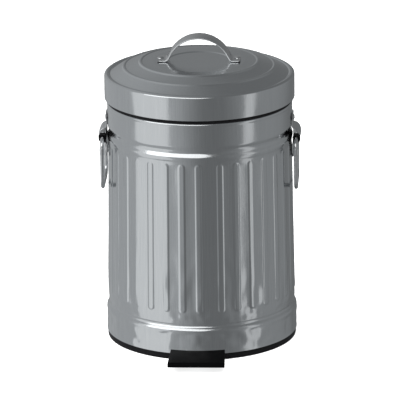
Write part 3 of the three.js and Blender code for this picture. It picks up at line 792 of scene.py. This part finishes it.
def make_hinge():
    """The leaf on the lid, the bracket on the neck, the pin between them and their four rivets."""
    sheet = 1.4
    gap = 0.3
    knuckle_bore = PIN_R + 0.2
    leaf = curved_plate(LID_R + gap, sheet, 14, 268.5, 284)
    web = fillet([
        (103.2, 272), (104.0, 266.8, 1.5), (HINGE_Y, 264.4), (HINGE_Y + 0.6, 266.0), (105.4, 268.6, 1.5),
        (104.2, 272),
    ], closed=True)
    parts = merged(leaf, prism(web, "x", -9, 9), tube_x(-9, 9, KNUCKLE_R, knuckle_bore))
    piece("lid_leaf", *parts, PLATED, "lid", ["lid_hinge_leaf"])

    plate = curved_plate(NECK_R + gap, sheet, 19, 239.5, 258, 3.0)
    arm = fillet([
        (100.6, 250, 1.0), (HINGE_Y, 259.2, 1.0), (HINGE_Y, 265.8), (106.8, 264, 2.0), (100.6, 257.5),
    ], closed=True)
    arm_width = 6.1
    arms = []
    for low in (9.4, -15.5):
        high = low + arm_width
        arms.append(merged(prism(arm, "x", low, high), tube_x(low, high, KNUCKLE_R, knuckle_bore)))
    piece("neck_bracket", *merged(plate, *arms), PLATED, "can", ["hinge_bracket"])

    pin_half = 17
    pin = fillet([(0, -pin_half), (PIN_R, -pin_half, 0.5), (PIN_R, pin_half, 0.5), (0, pin_half)])
    piece("lid_pin", *turned_along(pin, (0, HINGE_Y, HINGE_Z), (1, 0, 0)), PLATED, "can", ["hinge_pin"])

    rows = (
        # name, node, body, degrees from the middle, seat of the head, height, length
        ("leaf_rivet", "lid_hinge_rivet", "lid", 3.6, LID_R + sheet + gap, LID_RIVET_Z, 4.4),
        ("neck_rivet", "neck_hinge_rivet", "can", 4.6, NECK_R + sheet + gap, NECK_RIVET_Z, 2.8),
    )
    for side, sign in (("right", 1), ("left", -1)):
        for name, node, body, degrees, r, z, length in rows:
            turn = math.radians(90 - degrees * sign)
            radial = (math.cos(turn), math.sin(turn), 0)
            make_rivet(f"{name}_{side}", f"{node}_{side}", body, (r * radial[0], r * radial[1], z), radial,
                       length, 3.1, 1.1)


def make_lug():
    """The bent tab inside the lid that the push rod lifts."""
    outer = LID_R - 1.1
    thick = 1.4
    upright = outer - thick / 2
    path = fillet([(ROD_Y - 2.5, LUG_Z), (upright, LUG_Z, 2.0), (upright, 283)], steps=6)
    verts, faces = sweep([(0, y, z) for y, z in path], soft_slab(20, thick, 0.4), side=(1, 0, 0))
    hugged = []
    for x, y, z in verts:
        hugged.append((x, y - (1 - math.cos(x / outer)) * outer * (y / outer), z))
    piece("lift_tab", hugged, faces, PLAIN, "lid", ["lid_lug"])


# ---- Side handles ----------------------------------------------------------------------------

def saddle_path():
    """The saddle's middle line in radius and height, from its foot over the bulge to its top."""
    centre = 226.0
    reach = 7.8
    half = 8.4
    turns = np.linspace(-1.35, 1.35, 22)
    bulge = [(SADDLE_R + reach * math.cos(a), centre + half * math.sin(a)) for a in turns]
    foot_r = SADDLE_R + 0.2
    below = fillet([(foot_r, SADDLE_FOOT), (foot_r, 216.3, 2.0), bulge[0]], steps=5)
    above = fillet([bulge[-1], (SADDLE_R, 235.6, 2.0), (SADDLE_R, SADDLE_TOP)], steps=5)
    return below + bulge[1:-1] + above


def make_saddle(side, angle):
    """A sheet strap with round-cornered ends and a round bulge, hugging the can, and the bulge's crown."""
    edge = 0.4
    skin = SADDLE_SHEET / 2
    spans = 12
    wide = [-SADDLE_HALF + edge + i * (2 * SADDLE_HALF - 2 * edge) / spans for i in range(spans + 1)]
    section = [(a, -skin) for a in wide] + [(SADDLE_HALF, -0.2), (SADDLE_HALF, 0.2)]
    section += [(a, skin) for a in reversed(wide)] + [(-SADDLE_HALF, 0.2), (-SADDLE_HALF, -0.2)]
    path = [(r, 0, z) for r, z in saddle_path()]
    verts, faces = sweep(path, section, side=(0, 1, 0))
    hugged = []
    for x, y, z in verts:
        turn = y / x
        over = max(0.0, abs(y) - (SADDLE_HALF - SADDLE_CORNER))
        drop = SADDLE_CORNER - math.sqrt(max(0.0, SADDLE_CORNER ** 2 - over ** 2))
        z = min(max(z, SADDLE_FOOT + drop), SADDLE_TOP - drop)
        hugged.append((x * math.cos(turn), x * math.sin(turn), z))
    piece(f"saddle_{side}", turned_by(hugged, angle), faces, PLATED, "can", [f"{side}_handle_saddle"])
    crown = [(100.7 + 8.0 * math.cos(a), 226.0 + 8.6 * math.sin(a)) for a in np.linspace(0.24, 1.3, 12)]
    crown += [(100.9, 234.6), (100.9, 228.0)]
    verts, faces = prism(crown, "y", -SADDLE_HALF + 0.05, SADDLE_HALF - 0.05)
    made = piece(f"saddle_crown_{side}", turned_by(verts, angle), faces, PLATED, "can",
                 [f"{side}_handle_saddle"])
    bevelled(made, 0.7, 3)


def make_insert(side, angle):
    """The black filler in the saddle's bulge: a core, a flange at each end, and a bore for the wire."""
    core = fillet([
        (100.9, 219.2, 1.0), (104.5, 218.8, 3.0), (107.6, 221.2, 3.0), (107.6, 227.6, 1.0),
        (100.9, 227.6, 1.0),
    ], closed=True, steps=6)
    flange = fillet([
        (100.9, 219.2, 1.0), (104.5, 218.4, 3.0), (108.8, 220.6, 2.5), (108.8, 227.4, 1.5),
        (100.9, 228.4, 1.0),
    ], closed=True, steps=6)
    core_half = SADDLE_HALF + 0.15
    ends = [prism(flange, "y", low, low + 2.2) for low in (-SADDLE_HALF - 2.4, SADDLE_HALF + 0.2)]
    verts, faces = merged(prism(core, "y", -core_half, core_half), *ends)
    made = piece(f"saddle_filler_{side}", turned_by(verts, angle), faces, PLASTIC, "can",
                 [f"{side}_handle_insert"])
    bore, bore_faces = sweep([(BAIL_X, -40, BAIL_Z), (BAIL_X, 40, BAIL_Z)], circle(BAIL_R + 0.3, 32))
    carve(made, turned_by(bore, angle), bore_faces)
    bevelled(made, 0.5, 2)


def bail_path():
    """The wire's middle line: a rectangle with round corners, a little narrower at the top."""
    top = BAIL_HALF - 1.0
    low = BAIL_Z - BAIL_DROP
    return fillet([(-top, BAIL_Z, 7.5), (-BAIL_HALF, low, 10), (BAIL_HALF, low, 10), (top, BAIL_Z, 7.5)],
                  closed=True, steps=10)


def make_bail(side, angle):
    """The drop handle: one bent wire with its ends butted in the filler and a ferrule pressed on each leg."""
    path = [(BAIL_X, y, z) for y, z in bail_path()]
    step = 4
    dense = []
    for i, point in enumerate(path):
        after = path[(i + 1) % len(path)]
        count = max(1, round(math.dist(point, after) / step))
        for j in range(count):
            dense.append(tuple(point[k] + (after[k] - point[k]) * j / count for k in range(3)))
    wire = sweep(dense, circle(BAIL_R - 0.05, 20), closed=True)
    low, high = FERRULE
    inner = BAIL_R - 0.3
    sleeve = fillet([(inner, low), (FERRULE_R, low, 0.4), (FERRULE_R, high, 0.4), (inner, high)], closed=True)
    sleeves = [turned_along([(r, z - BAIL_Z) for r, z in sleeve], (BAIL_X, y, BAIL_Z), (0, 0, 1))
               for y in (-BAIL_HALF + 0.85, BAIL_HALF - 0.85)]
    verts, faces = merged(wire, *sleeves)
    piece(f"wire_handle_{side}", turned_by(verts, angle), faces, PLATED, f"{side}_bail",
          [f"{side}_handle_bail"])


def make_side_handles():
    """On each side the saddle, its filler, the wire handle and two rivets."""
    for side, angle in (("right", 0.0), ("left", math.pi)):
        make_saddle(side, angle)
        make_insert(side, angle)
        make_bail(side, angle)
        outward = (math.cos(angle), math.sin(angle), 0)
        for level, (z, r, length) in SADDLE_RIVETS.items():
            make_rivet(f"saddle_rivet_{level}_{side}", f"{side}_saddle_rivet_{level}", "can",
                       (r * outward[0], 0, z), outward, length, 3.1, 1.2)


# ---- Pedal -----------------------------------------------------------------------------------

def make_tread():
    """The moulded tread: a shallow cap with a sloping nose, a hollow heel and a slot for the lever."""
    outline = fillet([
        (TREAD_HEEL, TREAD_FOOT, 0.4), (TREAD_HEEL, TREAD_TOP, 0.8), (TREAD_TOE + 3.0, TREAD_TOP - 0.5, 2.0),
        (TREAD_TOE, TREAD_TOP - 2.6, 1.4), (TREAD_TOE, TREAD_FOOT, 0.5),
    ], closed=True, steps=5)
    stations = np.linspace(-TREAD_HALF, TREAD_HALF, 15)
    verts = []
    rings = []
    for x in stations:
        rings.append(list(range(len(verts), len(verts) + len(outline))))
        hollow = HEEL_R - math.sqrt(HEEL_R ** 2 - x ** 2)
        for y, z in outline:
            share = (y - TREAD_TOE) / (TREAD_HEEL - TREAD_TOE)
            verts.append((x * (1 - 0.05 * share), y + hollow * max(0.0, 3 * share - 2), z))
    faces = bridge(rings, False) + [tuple(reversed(rings[0])), tuple(rings[-1])]
    made = piece("tread_cap", verts, faces, TREAD_PLASTIC, "pedal", ["pedal_tread"])
    carve(made, *block((-10.4, -144.4, 0.0), (10.4, TREAD_HEEL + 8, 9.75)))
    bevelled(made, 0.5, 3)
    made.visible_glossy = False


# ---- Pedal lever, its bracket and the push rod -----------------------------------------------

def strip(points, width, thick, corner=0.3):
    """A flat strip that follows (y, z) points in the middle plane."""
    return sweep([(0, y, z) for y, z in points], soft_slab(width, thick, corner), side=(1, 0, 0))


def make_lever():
    """The flat lever under the can, with a round eye for its axle."""
    points = [(-143.6, LEVER_Z), (96.6, LEVER_Z)]
    eye = fillet([(2.4, -9.6), (4.6, -9.6, 0.4), (4.6, 9.6, 0.4), (2.4, 9.6)], closed=True)
    parts = merged(strip(points, 20, 2.0), turned_along(eye, (0, PIVOT_Y, PIVOT_Z), (1, 0, 0), 40))
    made = piece("step_lever", *parts, PLAIN, "pedal", ["pedal_lever"])
    made.visible_glossy = False


def make_bracket():
    """The folded bracket under the can's bottom, its axle, the axle's two clips and two rivets."""
    plate = strip([(PIVOT_Y - 7.8, BRACKET_Z), (PIVOT_Y + 7.8, BRACKET_Z)], 41.6, 1.3)
    ear_top = BRACKET_Z - 0.1
    ear_foot = PIVOT_Z - 4.6
    ear = fillet([
        (PIVOT_Y - 7.5, ear_top), (PIVOT_Y - 4.6, ear_foot, 4.4), (PIVOT_Y + 4.6, ear_foot, 4.4),
        (PIVOT_Y + 7.5, ear_top),
    ], closed=True, steps=8)
    ears = [prism(ear, "x", low, low + 1.2) for low in (-13.3, 12.1)]
    piece("axle_bracket", *merged(plate, *ears), PLAIN, "can", ["pivot_bracket"])
    axle_half = 16.4
    axle = fillet([(0, -axle_half), (2.0, -axle_half, 0.5), (2.0, axle_half, 0.5), (0, axle_half)])
    piece("step_axle", *turned_along(axle, (0, PIVOT_Y, PIVOT_Z), (1, 0, 0)), PLATED, "can", ["pedal_axle"])
    clip = fillet([(2.1, 14.05), (4.3, 14.05, 0.3), (4.3, 15.15, 0.3), (2.1, 15.15)], closed=True)
    for side, sign in (("left", -1), ("right", 1)):
        piece(f"axle_washer_{side}", *turned_along(clip, (0, PIVOT_Y, PIVOT_Z), (sign, 0, 0)), PLATED, "can",
              [f"axle_clip_{side}"])
        make_rivet(f"plate_rivet_{side}", f"bracket_rivet_{side}", "can",
                   (sign * 17, PIVOT_Y, PLATE_TOP + 0.2), (0, 0, 1), 3.2, 3.2, 1.1)


def make_rod():
    """The push rod: a plain bar with eased ends."""
    rod = fillet([(0, ROD_FOOT), (ROD_R, ROD_FOOT, 0.6), (ROD_R, ROD_TOP, 0.6), (0, ROD_TOP)])
    piece("lift_rod", *turned_along(rod, (0, ROD_Y, 0), (0, 0, 1), 24), PLATED, "rod", ["push_rod"])


# ---- Bucket ----------------------------------------------------------------------------------

def make_bucket():
    """The lift-out bucket, with a rim, a foot and two bored ears for its hoop."""
    floor = BUCKET_FOOT + 2.5
    inner = BUCKET_RIM_R - 3.5
    rim_foot = BUCKET_RIM - 4.5
    profile = fillet([
        (0, floor), (80, floor, 0.5), (80, BUCKET_FOOT, 0.5), (84, BUCKET_FOOT, 1.5),
        (84.4, floor + 4, 1.0), (inner + 1.6, rim_foot, 0.5), (BUCKET_RIM_R, rim_foot, 0.6),
        (BUCKET_RIM_R, BUCKET_RIM, 1.2), (inner, BUCKET_RIM, 1.2), (82.4, floor + 1.6, 5.0),
        (0, floor + 1.6),
    ])
    parts = [revolve(profile)]
    ear_inside = inner - 2.4
    for side in (-1, 1):
        for ear_outside, high in ((inner + 0.8, BUCKET_RIM - 0.5), (inner - 0.3, HOOP_Z + 4.5)):
            near, far = sorted((side * ear_inside, side * ear_outside))
            parts.append(block((near, -EAR_HALF, EAR_FOOT), (far, EAR_HALF, high)))
    bucket = piece("liner_bucket", *merged(*parts), BUCKET_PLASTIC, "can", ["inner_bucket"])
    for side in (-1, 1):
        start = (side * 80, 0, HOOP_Z)
        end = (side * (HOOP_RADIUS + 0.6), 0, HOOP_Z)
        carve(bucket, *bar(start, end, HOOP_R + 0.3))


def make_hoop():
    """The bucket's wire hoop: a half ring whose ends turn in through the ears."""
    turns = np.linspace(-math.pi, 0, 90)[1:-1]
    arc = [(HOOP_RADIUS * math.cos(a), HOOP_RADIUS * math.sin(a), HOOP_Z) for a in turns]
    path = [(-84.6, 0, HOOP_Z), (-88.6, 0, HOOP_Z)] + arc + [(88.6, 0, HOOP_Z), (84.6, 0, HOOP_Z)]
    verts, faces = sweep(path, circle(HOOP_R - 0.05, 14), side=(0, 0, 1))
    piece("carry_hoop", verts, faces, PLATED, "hoop", ["bucket_hoop"])


# ---- CAD nodes that keep their own shape -----------------------------------------------------

def dress_carried_nodes():
    """Gives every CAD node that still shows its material."""
    by_slot = {name: material for material, name in SLOTS.items()}
    slots = {row["node"]: row["material_slot"] for row in frame["record"]["subparts"]}
    for node, made in frame["nodes"].items():
        if made.hide_render:
            continue
        made.data.materials.clear()
        made.data.materials.append(by_slot[slots[node]])


# ---- Room: floor, light and camera -----------------------------------------------------------

CAMERA_AZ = math.radians(2.8)  # from straight in front, towards +X
CAMERA_EL = math.radians(16.7)
CAMERA_ROLL = math.radians(0.65)
CAMERA_DISTANCE = 5.5  # the camera and the room are in metres
CAMERA_LENS = 456.9
CAMERA_AIM = Vector((-0.0008, AXIS_Y, 0.1491))


def make_camera():
    """A distant camera with a long lens, a little above the bin."""
    data = bpy.data.cameras.new("view")
    data.lens = CAMERA_LENS
    data.sensor_width = 36.0
    data.clip_end = 50.0
    camera = bpy.data.objects.new("view", data)
    scene.collection.objects.link(camera)
    level = math.cos(CAMERA_EL)
    back = Vector((math.sin(CAMERA_AZ) * level, -math.cos(CAMERA_AZ) * level, math.sin(CAMERA_EL)))
    camera.location = CAMERA_AIM + back * CAMERA_DISTANCE
    upright = back.to_track_quat("Z", "Y").to_matrix().to_4x4()
    roll = Matrix.Rotation(-CAMERA_ROLL, 4, "Z")
    camera.matrix_world = Matrix.Translation(camera.location) @ upright @ roll
    scene.camera = camera


def make_floor():
    """A wide pale floor with a faint mottle. It glows a little, and the steel does not reflect it."""
    mesh = bpy.data.meshes.new("floor")
    half = FLOOR_HALF
    mesh.from_pydata([(-half, -half, 0), (half, -half, 0), (half, half, 0), (-half, half, 0)], [],
                     [(0, 1, 2, 3)])
    nodes = Nodes("floor_paint")
    colour = nodes.blend(nodes.noise(3), (0.86, 0.86, 0.86), (0.9, 0.9, 0.9))
    nodes.link(colour, nodes.surface.inputs["Base Color"])
    nodes.surface.inputs["Roughness"].default_value = 0.9
    nodes.surface.inputs["Emission Color"].default_value = (1, 1, 1, 1)
    nodes.surface.inputs["Emission Strength"].default_value = FLOOR_GLOW
    mesh.materials.append(nodes.material)
    floor = bpy.data.objects.new("floor", mesh)
    scene.collection.objects.link(floor)
    floor.visible_glossy = False


STUDIO_LEFT = 0.45  # brightness of the surround towards -X, between the sides, and towards +X
STUDIO_MIDDLE = 0.18
STUDIO_RIGHT = 0.3
STUDIO_TINT = (0.97, 1.0, 1.02)
BACKDROP = (1.0, 1.0, 1.0)  # what the camera itself sees behind the bin
SOFTBOX_DISTANCE = 2.0
SOFTBOXES = {
    # name: degrees from -Y towards +X, height of its middle, width, length, brightness
    "key_left": (-60, 0.1, 1.8, 3.0, 0.35),
    "strip_right": (65, 0.1, 0.5, 3.0, 0.35),
    "box_above": (-30, 1.5, 3.4, 1.8, 1.2),
}
FLOOR_LIGHT_AT = Vector((-0.6, -0.6, 2.6))
FLOOR_LIGHT_SIZE = 4.0
FLOOR_LIGHT_BRIGHTNESS = 3.0
FLOOR_HALF = 30.0
FLOOR_GLOW = 0.75


def make_room():
    """A plain surround: paler at the left, dim in the middle, grey at the right, and a white backdrop."""
    world = bpy.data.worlds.new("studio")
    scene.world = world
    world.use_nodes = True
    tree = world.node_tree
    tree.nodes.clear()
    coordinates = tree.nodes.new("ShaderNodeTexCoord")
    split = tree.nodes.new("ShaderNodeSeparateXYZ")
    tree.links.new(coordinates.outputs["Generated"], split.inputs["Vector"])

    def grey(level):
        return tuple(level * share for share in STUDIO_TINT)

    def fade(factor, first, second):
        made = tree.nodes.new("ShaderNodeMix")
        made.data_type = "RGBA"
        tree.links.new(factor, made.inputs["Factor"])
        for socket, value in (("A", first), ("B", second)):
            if isinstance(value, tuple):
                made.inputs[socket].default_value = (*value, 1)
            else:
                tree.links.new(value, made.inputs[socket])
        return made.outputs["Result"]

    def across(start, end):
        made = tree.nodes.new("ShaderNodeMapRange")
        made.interpolation_type = "SMOOTHSTEP"
        made.inputs["From Min"].default_value = start
        made.inputs["From Max"].default_value = end
        tree.links.new(split.outputs["X"], made.inputs["Value"])
        return made.outputs["Result"]

    surround = fade(across(0.2, -0.6), grey(STUDIO_MIDDLE), grey(STUDIO_LEFT))
    surround = fade(across(0.4, 1.0), surround, grey(STUDIO_RIGHT))
    eye = tree.nodes.new("ShaderNodeLightPath")
    seen = fade(eye.outputs["Is Camera Ray"], surround, BACKDROP)
    background = tree.nodes.new("ShaderNodeBackground")
    tree.links.new(seen, background.inputs["Color"])
    output = tree.nodes.new("ShaderNodeOutputWorld")
    tree.links.new(background.outputs["Background"], output.inputs["Surface"])


def make_softbox(name, place_at, width, tall, brightness):
    """A rectangular soft light that faces the bin."""
    data = bpy.data.lights.new(name, "AREA")
    data.shape = "RECTANGLE"
    data.size = width
    data.size_y = tall
    data.energy = brightness * math.pi * width * tall
    lamp = bpy.data.objects.new(name, data)
    lamp.location = place_at
    lamp.rotation_euler = (CAMERA_AIM - lamp.location).to_track_quat("-Z", "Y").to_euler()
    scene.collection.objects.link(lamp)
    return lamp


def make_lights():
    """Plain soft studio light: a box at the left, a strip at the right, a box above and a floor light."""
    for name, (bearing, height, width, tall, brightness) in SOFTBOXES.items():
        turn = math.radians(bearing)
        spot = Vector((SOFTBOX_DISTANCE * math.sin(turn), -SOFTBOX_DISTANCE * math.cos(turn), height))
        make_softbox(name, spot, width, tall, brightness)
    floor_light = make_softbox("floor_light", FLOOR_LIGHT_AT, FLOOR_LIGHT_SIZE, FLOOR_LIGHT_SIZE,
                               FLOOR_LIGHT_BRIGHTNESS)
    floor_light.visible_glossy = False


scene.view_settings.view_transform = "Standard"
make_camera()
make_room()
make_lights()
make_floor()
make_shell()
make_base_ring()
make_collar()
make_bottom_plate()
make_lid()
make_lid_strap()
make_lid_rivets()
make_hinge()
make_lug()
make_side_handles()
make_tread()
make_lever()
make_bracket()
make_rod()
make_bucket()
make_hoop()
dress_carried_nodes()
